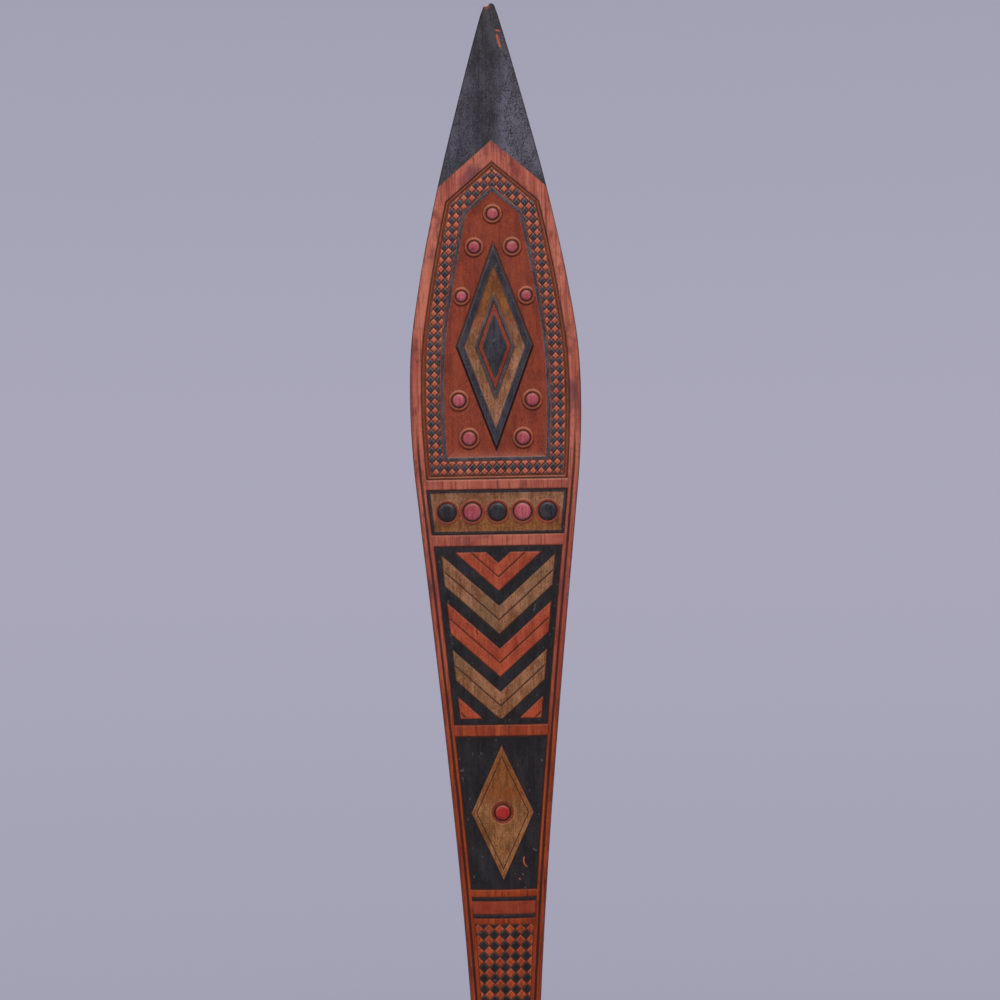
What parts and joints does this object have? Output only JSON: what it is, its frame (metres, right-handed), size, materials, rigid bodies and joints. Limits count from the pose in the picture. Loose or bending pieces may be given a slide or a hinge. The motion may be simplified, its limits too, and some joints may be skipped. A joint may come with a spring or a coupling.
{
  "type": "single blade paddle",
  "caption": "Wooden single blade paddle with a long pointed leaf blade, carved and painted on its face, a round shaft and a crosspiece grip.",
  "frame": {"origin": "on the paddle's axis at the throat, where the blade has narrowed to a neck and a fork or pair of pegs holds it", "axes": "+Z runs along the paddle to the blade's tip, the carved and painted face looks to -Y, +X is to the right of someone who faces it"},
  "size_m": [0.14, 0.0314, 1.5752],
  "materials": {
    "stained_cedar": "satin, oiled",
    "black_paint": "satin paint on wood",
    "ochre_paint": "matte wash on wood",
    "pink_paint": "matte paint on wood",
    "grip_wood": "hand-polished, oiled",
    "peg_wood": "oiled end grain",
    "wedge_wood": "bare, darker end grain"
  },
  "bodies": {
    "root": {"paddle_body": "stained_cedar", "crutch_grip": "grip_wood", "grip_peg": "peg_wood", "tenon_wedge_left": "wedge_wood", "tenon_wedge_right": "wedge_wood"}
  },
  "joints": []
}
